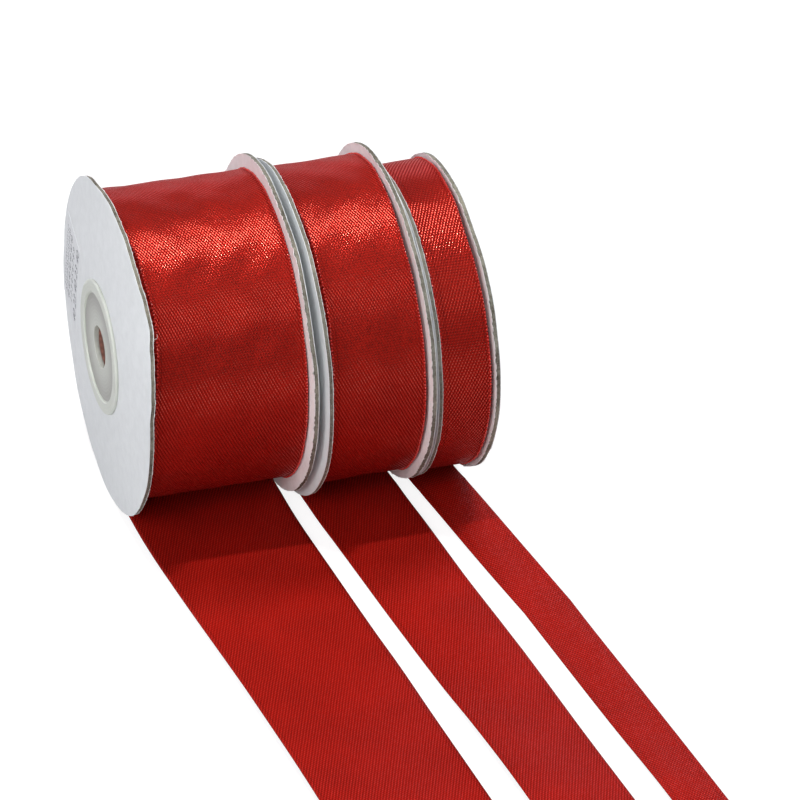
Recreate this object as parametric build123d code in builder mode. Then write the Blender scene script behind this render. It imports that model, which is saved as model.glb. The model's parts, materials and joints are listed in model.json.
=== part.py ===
"""Set of three ribbon spools, wide, medium and narrow, each with its end of ribbon drawn off over the table.

Millimetres and degrees, +Z up. The origin is the middle of the wide spool's bore and +X runs along that
bore, from the wide spool to the narrow one. The ends of ribbon run towards -Y.
Every spool is two faced board discs, clamped on a core tube by two plastic hub plugs.
"""

import os
from dataclasses import dataclass
from math import cos, radians, sin, tan

from build123d import *

os.makedirs("parts", exist_ok=True)

# Flange discs: grey board with white paper on both faces. The narrow spool's are a little smaller.
board_thickness = 1.0
facing_thickness = 0.1
flange_radius = 43.0
narrow_flange_step = 2.7

# Ribbon, and the room that it has between the flanges on top of its own width.
wide_ribbon_width = 39.6
medium_ribbon_width = 24.5
narrow_ribbon_width = 12.9
wide_side_play = 0.3
medium_side_play = 0.6
narrow_side_play = 1.0
ribbon_edge_gap = 0.12
ribbon_thickness = 0.25

# How far each flange stands out past its roll.
wide_flange_lip = 4.3
medium_flange_lip = 2.8
narrow_flange_lip = 1.4

# The wide spool's left flange has nothing beside it and bulges out, from its edge to just outside its plug.
wide_left_bulge = 1.6
bulge_seat = 1.3

# Core tube, and the tape that holds the first turn of ribbon on it.
core_wall = 1.8
tape_thickness = 0.1
tape_margin = 1.5
tape_arc_angle = 50.0
tape_start_angle = 100.0

# Hub plugs: one on each side, pushed through the board into the core tube.
bore_radius = 5.5
hub_hole_radius = 15.0
hub_hole_gap = 0.15
core_seat_gap = 0.05
spigot_wall = 1.5
spigot_reach = 5.0
web_thickness = 1.3
rim_radius = 17.2
rim_round = 0.4
recess_radius = 13.95
recess_depth = 0.5
left_rim_height = 0.8
right_rim_height = 0.3
slot_count = 6
slot_width = 1.6
slot_length = 3.4

# Size sticker on each left face.
label_width = 15.5
label_height = 27.0
label_thickness = 0.08
label_edge_room = 10.8
label_rise = 2.1
label_angle = 11.0
label_rim_gap = 0.5

# How the spools stand beside each other.
neighbour_angle = 1.4
rim_room = 0.15
edge_room = 0.3
medium_set_forward = 2.8
narrow_set_forward = 0.42

# Drawn-off ends: where the ribbon leaves the roll, and how it lands on the table.
roll_gap = 0.15
wrap_angle = 24.0
wide_leave_angle = 11.0
medium_leave_angle = 9.0
narrow_leave_angle = 6.5
landing_radius = 36.0
flat_lead = 3.0

# Each end on the table: its heading, from -Y towards +X, and its length. The narrow one bends once.
wide_end_angle = 6.3
wide_end_length = 142.0
medium_end_angle = 7.2
medium_end_length = 152.0
narrow_bend_angle = 10.4
narrow_bend_length = 50.0
narrow_end_angle = 7.4
narrow_end_length = 106.0

flange_thickness = board_thickness + 2 * facing_thickness
spigot_radius = hub_hole_radius - hub_hole_gap
core_bore_radius = spigot_radius + core_seat_gap
core_radius = core_bore_radius + core_wall
bulge_radius = rim_radius + bulge_seat
table_height = -flange_radius
up = Vector(0, 0, 1)


@dataclass
class Spool:
    """One size of spool. Its face plane is the outside of its left flange, with the normal along the bore."""

    name: str
    face: Plane
    disc_radius: float
    flange_lip: float
    ribbon_width: float
    side_play: float
    leave_angle: float
    end_runs: list
    left_bulge: float = 0.0

    @property
    def bore_line(self):
        return Axis(self.face.origin, self.face.z_dir)

    @property
    def section(self):
        """Plane through the bore: x is the distance from the bore, y the depth behind the face plane."""
        return Plane(origin=self.face.origin, x_dir=up, z_dir=up.cross(self.face.z_dir))

    @property
    def channel(self):
        return self.ribbon_width + self.side_play

    @property
    def roll_radius(self):
        return self.disc_radius - self.flange_lip

    @property
    def width(self):
        return self.channel + 2 * flange_thickness

    @property
    def ribbon_start(self):
        return flange_thickness + ribbon_edge_gap

    def keep(self, part, piece):
        part.label = f"{self.name}_{piece}"
        export_step(part, f"parts/{part.label}.step")


def face_at(x, y, radius, turn):
    """Left face plane of a spool that stands on the table, its axis turned about the vertical."""
    axis = Vector(cos(radians(turn)), sin(radians(turn)), 0)
    return Plane(origin=(x, y, table_height + radius), x_dir=up.cross(axis), z_dir=axis)


def beside(spool, gap, set_forward, radius, turn):
    """Left face plane of the next spool, a gap away from the right face of this one."""
    middle = spool.face.origin + spool.face.z_dir * (spool.width + gap)
    return face_at(middle.X, middle.Y - set_forward, radius, turn)


def layer_outline(spool, start, thickness, bulge, inner_radius):
    """Half section of a layer that bulges out inside its edge and is flat again round the plug."""
    front = [(inner_radius, start - bulge), (bulge_radius, start - bulge), (spool.disc_radius, start)]
    back = [(radius, depth + thickness) for radius, depth in reversed(front)]
    return front + back


def make_disc(spool, start, thickness, bulge, piece):
    """A round layer of a flange, with the hole that the hub plug goes through."""
    with BuildPart() as disc:
        with BuildSketch(spool.section):
            with BuildLine():
                Polyline(layer_outline(spool, start, thickness, bulge, hub_hole_radius), close=True)
            make_face()
        revolve(axis=spool.bore_line)
    spool.keep(disc.part, piece)


def make_flange(spool, start, bulge, layers):
    """Three glued layers from the left to the right: facing, board, facing."""
    thicknesses = (facing_thickness, board_thickness, facing_thickness)
    for piece, thickness in zip(layers, thicknesses):
        make_disc(spool, start, thickness, bulge, piece)
        start += thickness


def make_hub(spool, seat, rim_height, piece):
    """A plug: rim on the flange, slotted spigot into the core tube, and a web with the bore."""
    recess_floor = rim_height - recess_depth
    spigot_length = flange_thickness + spigot_reach
    with BuildPart() as hub:
        with BuildSketch(seat.offset(-spigot_length)):
            Circle(spigot_radius)
            Circle(spigot_radius - spigot_wall, mode=Mode.SUBTRACT)
        extrude(amount=spigot_length)
        with BuildSketch(seat.offset(-spigot_length)):
            with PolarLocations(spigot_radius - spigot_wall / 2, slot_count):
                Rectangle(2 * spigot_wall, slot_width)
        extrude(amount=slot_length, mode=Mode.SUBTRACT)
        with BuildSketch(seat.offset(recess_floor - web_thickness)):
            Circle(recess_radius)
            Circle(bore_radius, mode=Mode.SUBTRACT)
        extrude(amount=web_thickness)
        with BuildSketch(seat):
            Circle(rim_radius)
            Circle(recess_radius, mode=Mode.SUBTRACT)
        extrude(amount=rim_height)
        rim_edges = hub.edges().group_by(Axis(seat.origin, seat.z_dir))[-1]
        fillet(rim_edges, min(rim_round, rim_height / 2))
    spool.keep(hub.part, piece)


def make_core_tube(spool):
    """The tube between the flanges that the ribbon is wound on."""
    with BuildPart() as tube:
        with BuildSketch(spool.face.offset(flange_thickness - spool.left_bulge)):
            Circle(core_radius)
            Circle(core_bore_radius, mode=Mode.SUBTRACT)
        extrude(amount=spool.channel + spool.left_bulge)
    spool.keep(tube.part, "core_tube")


def make_starter_tape(spool):
    """The strip of tape under the first turn, bent round the core tube."""
    start = spool.ribbon_start + tape_margin
    with BuildPart() as tape:
        with BuildSketch(spool.face.offset(start)):
            with BuildLine():
                inner = CenterArc((0, 0), core_radius, tape_start_angle, tape_arc_angle)
                outer = CenterArc(
                    (0, 0), core_radius + tape_thickness, tape_start_angle, tape_arc_angle
                )
                Line(inner @ 0, outer @ 0)
                Line(inner @ 1, outer @ 1)
            make_face()
        extrude(amount=spool.ribbon_width - 2 * tape_margin)
    spool.keep(tape.part, "starter_tape")


def make_ribbon_roll(spool):
    """The wound turns of ribbon as one solid ring."""
    with BuildPart() as roll:
        with BuildSketch(spool.face.offset(spool.ribbon_start)):
            Circle(spool.roll_radius)
            Circle(core_radius + tape_thickness, mode=Mode.SUBTRACT)
        extrude(amount=spool.ribbon_width)
    spool.keep(roll.part, "ribbon_roll")


def make_label(spool):
    """The sticker, turned a little as it was stuck on, clear of the hub's rim and the disc's edge."""
    reach = spool.disc_radius - label_edge_room
    inner = rim_radius + label_rim_gap
    with BuildPart() as label:
        with BuildSketch(spool.section):
            with BuildLine():
                Polyline(
                    layer_outline(spool, -label_thickness, label_thickness, spool.left_bulge, inner),
                    close=True,
                )
            make_face()
        revolve(axis=spool.bore_line)
        with BuildSketch(spool.face):
            with Locations((reach, label_rise)):
                Rectangle(label_width, label_height, rotation=label_angle)
        extrude(amount=spool.left_bulge + 2 * label_thickness, both=True, mode=Mode.INTERSECT)
    spool.keep(label.part, "label")


def strip_outline(points, width):
    """Closed outline of a flat strip of even width along a bent middle line."""
    headings = [(b - a).normalized() for a, b in zip(points, points[1:])]
    left, right = [], []
    for i, point in enumerate(points):
        before = headings[max(i - 1, 0)]
        after = headings[min(i, len(headings) - 1)]
        middle = (before + after).normalized()
        side = up.cross(middle) * (width / 2 / middle.dot(before))
        left.append(point + side)
        right.append(point - side)
    return left + right[::-1]


def make_ribbon_end(spool):
    """The drawn-off end: it leaves the underside of the roll, lands on the table and runs on over it."""
    leave = radians(spool.leave_angle)
    inner_radius = spool.roll_radius + roll_gap
    outer_radius = inner_radius + ribbon_thickness
    drop = spool.disc_radius - outer_radius * cos(leave)
    meet = outer_radius * sin(leave) - drop / tan(leave)
    landing = meet - landing_radius * tan(leave / 2)
    landing_centre = (landing, landing_radius - spool.disc_radius)
    lead = landing - flat_lead
    with BuildPart() as end:
        with BuildSketch(spool.face.offset(spool.ribbon_start)):
            with BuildLine():
                under_roll = CenterArc((0, 0), inner_radius, 270 + spool.leave_angle, wrap_angle)
                outside = CenterArc((0, 0), outer_radius, 270 + spool.leave_angle, wrap_angle)
                top_bend = CenterArc(
                    landing_centre, landing_radius - ribbon_thickness, 270, spool.leave_angle
                )
                low_bend = CenterArc(landing_centre, landing_radius, 270, spool.leave_angle)
                Line(under_roll @ 1, outside @ 1)
                Line(under_roll @ 0, top_bend @ 1)
                Line(outside @ 0, low_bend @ 1)
                Polyline(
                    top_bend @ 0,
                    (lead, ribbon_thickness - spool.disc_radius),
                    (lead, -spool.disc_radius),
                    low_bend @ 0,
                )
            make_face()
        extrude(amount=spool.ribbon_width)
        middle = spool.ribbon_start + spool.ribbon_width / 2
        points = [
            spool.face.from_local_coords((u, -spool.disc_radius, middle)) for u in (landing, lead)
        ]
        for angle, length in spool.end_runs:
            step = Vector(sin(radians(angle)), -cos(radians(angle)), 0) * length
            points.append(points[-1] + step)
        with BuildSketch(Plane.XY.offset(table_height)):
            with BuildLine():
                corners = [(p.X, p.Y) for p in strip_outline(points, spool.ribbon_width)]
                Polyline(corners, close=True)
            make_face()
        extrude(amount=ribbon_thickness)
    spool.keep(end.part, "ribbon_end")


def make_spool(spool):
    """All the pieces of one spool, from its left face to its right one."""
    right_flange = flange_thickness + spool.channel
    bulged_face = spool.face.offset(-spool.left_bulge)
    left_seat = Plane(bulged_face.origin, x_dir=spool.face.x_dir, z_dir=-spool.face.z_dir)
    left_layers = ("left_outer_facing", "left_board", "left_inner_facing")
    right_layers = ("right_inner_facing", "right_board", "right_outer_facing")
    make_flange(spool, 0, spool.left_bulge, left_layers)
    make_flange(spool, right_flange, 0, right_layers)
    make_hub(spool, left_seat, left_rim_height, "left_hub")
    make_hub(spool, spool.face.offset(spool.width), right_rim_height, "right_hub")
    make_core_tube(spool)
    make_starter_tape(spool)
    make_ribbon_roll(spool)
    make_ribbon_end(spool)
    make_label(spool)


wide_width = wide_ribbon_width + wide_side_play + 2 * flange_thickness
wide = Spool(
    name="wide",
    face=face_at(-wide_width / 2, 0, flange_radius, 0),
    disc_radius=flange_radius,
    flange_lip=wide_flange_lip,
    ribbon_width=wide_ribbon_width,
    side_play=wide_side_play,
    leave_angle=wide_leave_angle,
    end_runs=[(wide_end_angle, wide_end_length)],
    left_bulge=wide_left_bulge,
)

# The medium spool is turned a little, so its gap has to clear both the rims and the back edge.
rims_apart = left_rim_height + right_rim_height + rim_room
turn_at_rim = rim_radius * sin(radians(neighbour_angle))
turn_at_edge = flange_radius * sin(radians(neighbour_angle))
medium = Spool(
    name="medium",
    face=beside(
        wide,
        max(rims_apart + turn_at_rim, edge_room + turn_at_edge),
        medium_set_forward,
        flange_radius,
        neighbour_angle,
    ),
    disc_radius=flange_radius,
    flange_lip=medium_flange_lip,
    ribbon_width=medium_ribbon_width,
    side_play=medium_side_play,
    leave_angle=medium_leave_angle,
    end_runs=[(medium_end_angle, medium_end_length)],
)

narrow_disc_radius = flange_radius - narrow_flange_step
narrow = Spool(
    name="narrow",
    face=beside(medium, rims_apart, narrow_set_forward, narrow_disc_radius, neighbour_angle),
    disc_radius=narrow_disc_radius,
    flange_lip=narrow_flange_lip,
    ribbon_width=narrow_ribbon_width,
    side_play=narrow_side_play,
    leave_angle=narrow_leave_angle,
    end_runs=[(narrow_bend_angle, narrow_bend_length), (narrow_end_angle, narrow_end_length)],
)

for each_spool in (wide, medium, narrow):
    make_spool(each_spool)
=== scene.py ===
"""Looks for a set of three ribbon spools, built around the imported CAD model.

Everything is in metres in the part's own frame: the origin is in the wide spool's bore, +X runs along the bore
towards the narrow spool, +Z is up, and the drawn-off ends of ribbon run towards -Y.
"""

import json
import math
from functools import partial

import bmesh
import bpy
import numpy as np
from mathutils import Matrix, Vector


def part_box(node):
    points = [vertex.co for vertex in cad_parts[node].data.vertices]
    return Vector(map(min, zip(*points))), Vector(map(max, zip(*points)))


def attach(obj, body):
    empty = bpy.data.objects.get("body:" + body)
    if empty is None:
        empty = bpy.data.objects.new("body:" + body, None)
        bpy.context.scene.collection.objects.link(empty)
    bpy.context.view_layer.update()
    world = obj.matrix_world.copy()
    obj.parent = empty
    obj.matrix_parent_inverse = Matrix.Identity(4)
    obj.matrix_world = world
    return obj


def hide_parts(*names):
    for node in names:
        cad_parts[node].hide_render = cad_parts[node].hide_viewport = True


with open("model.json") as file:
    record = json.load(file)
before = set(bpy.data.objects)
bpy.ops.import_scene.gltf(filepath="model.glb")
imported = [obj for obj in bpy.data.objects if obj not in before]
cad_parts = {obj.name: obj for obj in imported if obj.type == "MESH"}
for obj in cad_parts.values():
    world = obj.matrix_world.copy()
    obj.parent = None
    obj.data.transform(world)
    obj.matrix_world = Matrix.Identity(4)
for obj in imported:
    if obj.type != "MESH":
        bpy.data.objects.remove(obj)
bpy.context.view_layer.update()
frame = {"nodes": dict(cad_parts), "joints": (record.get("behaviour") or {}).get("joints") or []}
scene = bpy.context.scene
mm = 0.001


# --- Camera -------------------------------------
# A long lens on a stand, 1.6 m off, in front of the set and a little to its left. It looks down on
# it, so the left face of the wide spool and the tops of all three rolls show.
camera_place = Vector((-366.46, -1285.75, 898.56)) * mm
camera_turn = 0.317754
camera_dip = 0.601322
camera_roll = 0.033710
lens_mm = 288.8
sensor_mm = 36.0

forward = Vector((
    math.sin(camera_turn) * math.cos(camera_dip),
    math.cos(camera_turn) * math.cos(camera_dip),
    -math.sin(camera_dip),
))
level = Vector((math.cos(camera_turn), -math.sin(camera_turn), 0))
across = level * math.cos(camera_roll) + level.cross(forward) * math.sin(camera_roll)
upward = across.cross(forward)
camera_data = bpy.data.cameras.new("camera")
camera_data.lens = lens_mm
camera_data.sensor_width = sensor_mm
camera_data.clip_start = 0.05
camera_data.clip_end = 20
camera = bpy.data.objects.new("camera", camera_data)
camera.matrix_world = Matrix.Translation(camera_place) @ Matrix((across, upward, -forward)).transposed().to_4x4()
scene.collection.objects.link(camera)
scene.camera = camera

# --- Flange discs -------------------------------
# Grey board with white paper glued on both faces, stamped out together. The cut edge shows the brown
# pulp between two pale lips of paper; it is torn and fuzzy in places, and no disc is quite flat.
spools = ("wide", "medium", "narrow")
up = np.array((0.0, 0.0, 1.0))


def points_of(mesh):
    """A mesh's points, one to a row."""
    points = np.zeros(len(mesh.vertices) * 3)
    mesh.vertices.foreach_get("co", points)
    return points.reshape(-1, 3)


class Bore:
    """A spool's bore: a point is placed by its depth along it, its distance from it and its angle round it."""

    def __init__(self, spool):
        joint = next(j for j in frame["joints"] if j["name"] == f"{spool}_spin")
        self.middle = np.array(joint["pos_m"], float)
        self.axis = np.array(joint["axis"], float)
        self.side = np.cross(up, self.axis)

    def at(self, depth, radius, angle):
        """Points in the row frame; angle 0 is at the back, and a quarter turn is at the top."""
        depth, radius, angle = np.broadcast_arrays(depth, radius, angle)
        return (
            self.middle
            + depth[..., None] * self.axis
            + (radius * np.cos(angle))[..., None] * self.side
            + (radius * np.sin(angle))[..., None] * up
        )

    def read(self, points):
        """Depth, radius and angle of points in the row frame."""
        off = points - self.middle
        depth, back, rise = off @ self.axis, off @ self.side, off @ up
        return depth, np.hypot(back, rise), np.arctan2(rise, back)

    def span(self, node):
        """Lowest and highest depth and radius of a CAD node."""
        depth, radius, _ = self.read(points_of(frame["nodes"][node].data))
        return depth.min(), depth.max(), radius.min(), radius.max()


bores = {spool: Bore(spool) for spool in spools}


def colour(text):
    """Linear colour of an sRGB hex value such as #C81E1E."""
    parts = [int(text[i:i + 2], 16) / 255 for i in (1, 3, 5)]
    linear = [p / 12.92 if p <= 0.04045 else ((p + 0.055) / 1.055) ** 2.4 for p in parts]
    return (*linear, 1.0)


def give(made, inputs):
    """Sets a node's inputs by name or number; a socket, or another node's main output, is linked."""
    for key, value in inputs.items():
        if isinstance(value, str) and value.startswith("#"):
            value = colour(value)
        if isinstance(value, bpy.types.Node):
            value = next(socket for socket in value.outputs if socket.enabled)
        if isinstance(value, bpy.types.NodeSocket):
            made.id_data.links.new(value, made.inputs[key])
        else:
            made.inputs[key].default_value = value


def node(tree, kind, inputs=None, **settings):
    """Adds a node with its settings and its inputs; a kind such as Math is short for ShaderNodeMath."""
    made = tree.nodes.new(kind if "Node" in kind else f"ShaderNode{kind}")
    for key, value in settings.items():
        setattr(made, key, value)
    give(made, inputs or {})
    return made


def material(name, **same_all_over):
    """A material, its Principled shader with the values that are the same all over, and what adds its nodes."""
    made = bpy.data.materials.new(name)
    made.use_nodes = True
    made.node_tree.nodes.clear()
    add = partial(node, made.node_tree)
    shader = add("BsdfPrincipled", {k.replace("_", " "): v for k, v in same_all_over.items()})
    add("OutputMaterial", {"Surface": shader})
    return made, shader, add


def open_tree(name, kinds):
    """A new tree of geometry nodes, its inputs as sockets by name, and what adds its nodes."""
    tree = bpy.data.node_groups.new(name, "GeometryNodeTree")
    for label, kind in kinds.items():
        tree.interface.new_socket(label, in_out="INPUT", socket_type=f"NodeSocket{kind}")
    tree.interface.new_socket("Made", in_out="OUTPUT", socket_type="NodeSocketGeometry")
    add = partial(node, tree)
    return tree, add("NodeGroupInput").outputs, add


def close_tree(tree, geometry, finish):
    """Ends a tree: what it repeats becomes real, and the whole gets its material."""
    real = node(tree, "GeometryNodeRealizeInstances", {"Geometry": geometry})
    finished = node(tree, "GeometryNodeSetMaterial", {"Geometry": real, "Material": finish})
    node(tree, "NodeGroupOutput", {"Made": finished})
    return tree


def turning_tree():
    """Turns a chain of points round an axis, as on a lathe, and closes it on itself.

    The weave attribute gets each place's way round at the surface radius and its depth along the axis.
    """
    tree, given, add = open_tree("turning", {
        "Profile": "Geometry", "Centre": "Vector", "Axis": "Vector", "Profile Points": "Int",
        "Segments": "Int", "Start": "Float", "Surface Radius": "Float", "Material": "Material",
    })
    rows = add("Math", {0: given["Profile Points"], 1: 1.0}, operation="ADD")
    columns = add("Math", {0: given["Segments"], 1: 1.0}, operation="ADD")
    grid = add("GeometryNodeMeshGrid", {"Size X": 1.0, "Size Y": 1.0, "Vertices X": rows, "Vertices Y": columns})
    index = add("GeometryNodeInputIndex")
    ratio = add("Math", {0: index, 1: columns}, operation="DIVIDE")
    row = add("Math", {0: ratio}, operation="FLOOR")
    column = add("Math", {0: index, 1: columns}, operation="MODULO")
    wrapped = add("Math", {0: row, 1: given["Profile Points"]}, operation="MODULO")
    position = add("GeometryNodeInputPosition")
    sample = add("GeometryNodeSampleIndex", {
        "Geometry": given["Profile"], "Value": position, "Index": wrapped,
    }, data_type="FLOAT_VECTOR")
    share = add("Math", {0: column, 1: given["Segments"]}, operation="DIVIDE")
    angle = add("Math", {0: share, 1: 2 * math.pi, 2: given["Start"]}, operation="MULTIPLY_ADD")
    turned = add("VectorRotate", {
        "Vector": sample, "Center": given["Centre"], "Axis": given["Axis"], "Angle": angle,
    }, rotation_type="AXIS_ANGLE")
    placed = add("GeometryNodeSetPosition", {"Geometry": grid, "Position": turned})
    round_it = add("SeparateXYZ", {"Vector": grid.outputs["UV Map"]})
    length = add("Math", {0: given["Surface Radius"], 1: 2 * math.pi}, operation="MULTIPLY")
    along = add("Math", {0: round_it.outputs["Y"], 1: length}, operation="MULTIPLY")
    off = add("VectorMath", {0: position, 1: given["Centre"]}, operation="SUBTRACT")
    depth = add("VectorMath", {0: off, 1: given["Axis"]}, operation="DOT_PRODUCT")
    weave = add("CombineXYZ", {"X": along, "Y": depth})
    stored = add("GeometryNodeStoreNamedAttribute", {
        "Geometry": placed, "Name": "weave", "Value": weave,
    }, data_type="FLOAT_VECTOR", domain="CORNER")
    closed = add("GeometryNodeMergeByDistance", {"Geometry": stored, "Distance": 1e-6})
    return close_tree(tree, closed, given["Material"])


def new_piece(name, data):
    """A new object in the scene."""
    made = bpy.data.objects.new(name, data)
    scene.collection.objects.link(made)
    return made


def as_mesh(held):
    """The plain mesh that an object with modifiers, or a curve, comes to."""
    graph = bpy.context.evaluated_depsgraph_get()
    return bpy.data.meshes.new_from_object(held.evaluated_get(graph), depsgraph=graph)


def from_curve(name, curve, finish):
    """A mesh piece from a curve or from text."""
    held = new_piece(f"{name}_curve", curve)
    mesh = as_mesh(held)
    bpy.data.objects.remove(held)
    mesh.materials.clear()
    mesh.materials.append(finish)
    return new_piece(name, mesh)


def grow(name, points, edges, tree, values):
    """Runs a node tree on a chain of points and keeps the plain mesh that it makes."""
    base = bpy.data.meshes.new(f"{name}_base")
    base.from_pydata([tuple(p) for p in points], edges, [])
    made = new_piece(name, base)
    modifier = made.modifiers.new("grow", "NODES")
    modifier.node_group = tree
    sockets = {s.name: s.identifier for s in tree.interface.items_tree if s.in_out == "INPUT"}
    for label, value in values.items():
        modifier[sockets[label]] = value
    mesh = as_mesh(made)
    made.modifiers.remove(modifier)
    made.data = mesh
    mesh.name = name
    bpy.data.meshes.remove(base)
    return made


def turn_out(piece):
    """Makes a closed mesh's faces point outwards."""
    work = bmesh.new()
    work.from_mesh(piece.data)
    bmesh.ops.recalc_face_normals(work, faces=work.faces)
    work.to_mesh(piece.data)
    work.free()
    return piece


def reshape(piece, change):
    """Moves a mesh's points by a function of all of them."""
    points = change(points_of(piece.data))
    piece.data.vertices.foreach_set("co", points.astype(np.float32).ravel())
    piece.data.update()


turning = turning_tree()


def turned(name, spool, profile, segments, finish, surface_radius=30 * mm, start=0.0):
    """A round piece on a spool's bore from its closed profile of (depth, radius) points."""
    bore = bores[spool]
    depth, radius = np.array(profile, float).T
    points = bore.at(depth, radius, 0.0)
    piece = grow(name, points, [], turning, {
        "Centre": tuple(bore.middle), "Axis": tuple(bore.axis), "Profile Points": len(points),
        "Segments": segments, "Start": start, "Surface Radius": surface_radius, "Material": finish,
    })
    return turn_out(piece)


def paper(name, tint, low_tint):
    """Smooth coated paper: a faint mottle of pulp and hardly any gloss."""
    made, shader, add = material(name, Roughness=0.62, IOR=1.45, Specular_IOR_Level=0.35)
    place = add("TexCoord").outputs["Object"]
    mottle = add("TexNoise", {"Vector": place, "Scale": 320.0, "Detail": 6.0, "Roughness": 0.7})
    tone = add("MapRange", {"Value": mottle, "From Min": 0.35, "From Max": 0.65})
    shade = add("Mix", {"Factor": tone, "A": low_tint, "B": tint}, data_type="RGBA")
    fine = add("TexNoise", {"Vector": place, "Scale": 2600.0, "Detail": 3.0})
    bump = add("Bump", {"Height": fine, "Distance": 0.01 * mm, "Strength": 0.6})
    give(shader, {"Base Color": shade, "Normal": bump})
    return made


def greyboard():
    """Recycled pulp board: brown-grey layers along the cut, with dark and pale specks of fibre."""
    made, shader, add = material("recycled_greyboard", Roughness=0.85, IOR=1.45, Specular_IOR_Level=0.2)
    place = add("TexCoord").outputs["Object"]
    fibre = add("TexNoise", {"Vector": place, "Scale": 900.0, "Detail": 6.0, "Roughness": 0.75})
    clump = add("TexNoise", {"Vector": place, "Scale": 130.0, "Detail": 4.0})
    both = add("Math", {0: clump, 1: 0.8, 2: fibre}, operation="MULTIPLY_ADD")
    tone = add("MapRange", {"Value": both, "From Min": 0.65, "From Max": 1.15})
    batch = add("TexNoise", {"Vector": place, "Scale": 22.0})
    pale = add("Mix", {"Factor": batch, "A": "#A69A86", "B": "#929A92"}, data_type="RGBA")
    shade = add("Mix", {"Factor": tone, "A": "#564F45", "B": pale}, data_type="RGBA")
    bump = add("Bump", {"Height": fibre, "Distance": 0.08 * mm, "Strength": 1.0})
    give(shader, {"Base Color": shade, "Normal": bump})
    return made


outer_paper = paper("coated_white_paper", "#E6E9EA", "#DFE2E3")
# Painted light: the inner paper is drawn lighter than the outer, to make up for the light that the inner faces,
# hemmed in by the roll, get less of.
inner_paper_painted_lighter = paper("inner_white_paper_painted_lighter", "#F4F1F1", "#E9E6E6")
board = greyboard()


def layer_profile(low, high, inner, outer, edge_rows):
    """Closed section of a flange layer; each face is (depth at the bore, depth at the edge)."""
    finer_from = outer - 1.4 * mm
    radii = [inner, flat_radius]
    radii += [flat_radius + (finer_from - flat_radius) * share for share in (0.25, 0.5, 0.75, 1.0)]
    radii += [outer - step * mm for step in (1.0, 0.7, 0.45, 0.3, 0.16, 0.05)]

    def side(depths, radius):
        share = min(max((radius - flat_radius) / (outer - flat_radius), 0.0), 1.0)
        return depths[0] + (depths[1] - depths[0]) * share

    edge = [(low[1] + (high[1] - low[1]) * share, outer) for share in np.linspace(0, 1, edge_rows + 2)]
    return [(side(low, r), r) for r in radii] + edge + [(side(high, r), r) for r in radii[::-1]]


def face_depths(bore, node_name):
    """Depth of a layer's left and right face, at the bore and at the edge: ((bore, edge), (bore, edge))."""
    depth, radius, _ = bore.read(points_of(frame["nodes"][node_name].data))
    near, far = radius < radius.min() + 0.5 * mm, radius > radius.max() - 0.3 * mm
    return (depth[near].min(), depth[far].min()), (depth[near].max(), depth[far].max())


# A disc is flat as far as its plug holds it, then leans evenly; its bends begin a little further out.
flat_radius = 18.5 * mm
wave_from = 24.0 * mm

# How far each disc's edge stands off its true plane, towards +X, at angles up round it from the front.
edge_bends = {
    ("wide", "left"): [
        (-60, -0.3), (-34, -0.85), (-20, -0.6), (-4, -0.6), (6, -0.75), (14, -0.1), (22, 0.3), (30, 0.75),
        (38, 1.5), (46, 1.1), (54, 0.6), (62, 0.4), (70, 0.35), (78, 0.1), (86, -0.1), (94, -0.4), (104, -0.7),
        (120, -0.3), (145, 0.0), (215, 0.0), (250, -0.15),
    ],
    ("wide", "right"): [
        (-20, 0.3), (0, 0.45), (14, 0.35), (30, 0.0), (54, 0.0), (75, -0.4), (94, -0.4), (140, -0.15), (180, -0.2),
        (250, 0.0),
    ],
    ("medium", "left"): [(-20, -0.4), (0, -0.6), (30, -0.7), (70, -0.68), (110, -0.2), (180, 0.12), (250, 0.0)],
    ("medium", "right"): [(-20, 0.1), (10, 0.0), (34, -0.3), (70, -0.7), (94, -0.7), (140, -0.1), (220, 0.0)],
    ("narrow", "left"): [(-30, 0.1), (30, -0.1), (80, 0.1), (150, -0.1), (240, 0.05)],
    ("narrow", "right"): [(0, 0.0), (46, -0.25), (66, -0.7), (90, -0.7), (140, -0.1), (240, 0.05)],
}


def rise(value, start, end):
    """From 0 at start to 1 at end, eased at both."""
    share = np.clip((value - start) / (end - start), 0, 1)
    return share * share * (3 - 2 * share)


def around(stations, degrees):
    """A smooth closed curve through (angle, value) pairs."""
    first_angle, first_value = stations[0]
    at, value = np.array([*stations, (first_angle + 360, first_value)], float).T
    degrees = (np.asarray(degrees) - at[0]) % 360 + at[0]
    spot = np.clip(np.searchsorted(at, degrees, side="right") - 1, 0, len(at) - 2)
    share = rise(degrees, at[spot], at[spot + 1])
    return value[spot] * (1 - share) + value[spot + 1] * share


def disc_bend(spool, side, radius, angle, outer):
    """How far a disc stands off its true plane: nothing near the plug, most at the edge."""
    share = np.clip((radius - wave_from) / (outer - wave_from), 0, 1) ** 3
    turn = spools.index(spool) * 1.7 + (0.9 if side == "right" else 0.0)
    ripple = 0.05 * np.sin(9 * angle + turn) + 0.03 * np.sin(17 * angle + 2 * turn)
    return share * (around(edge_bends[spool, side], 180 - np.degrees(angle)) + ripple) * mm


# Per layer: its finish and slot, the rows of points across its cut edge, how deep the edge is torn and
# sunk there in millimetres, and how much of the burr it shows.
layers = {
    "outer_facing": (outer_paper, "white_paper", 0, 0.05, 0.0, 0.0),
    "board": (board, "greyboard", 7, 0.12, 0.05, 0.3),
    "inner_facing": (inner_paper_painted_lighter, "white_paper", 0, 0.07, 0.03, 1.0),
}
disc_segments = 720
nick_rows = 12
nick_height = 0.14 * mm
worn_length = 12
deepest_tear = 0.36
# The left discs' board and inner paper stand further back, and the right discs' burr is longer.
sunk_more = {"left": 4, "right": 1}
burr_length = {"left": 0.12 * mm, "right": -0.35 * mm}
# A place on each right disc where the edge has been knocked, in degrees round it.
knocked_at, knocked_width = 214, 5


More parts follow.
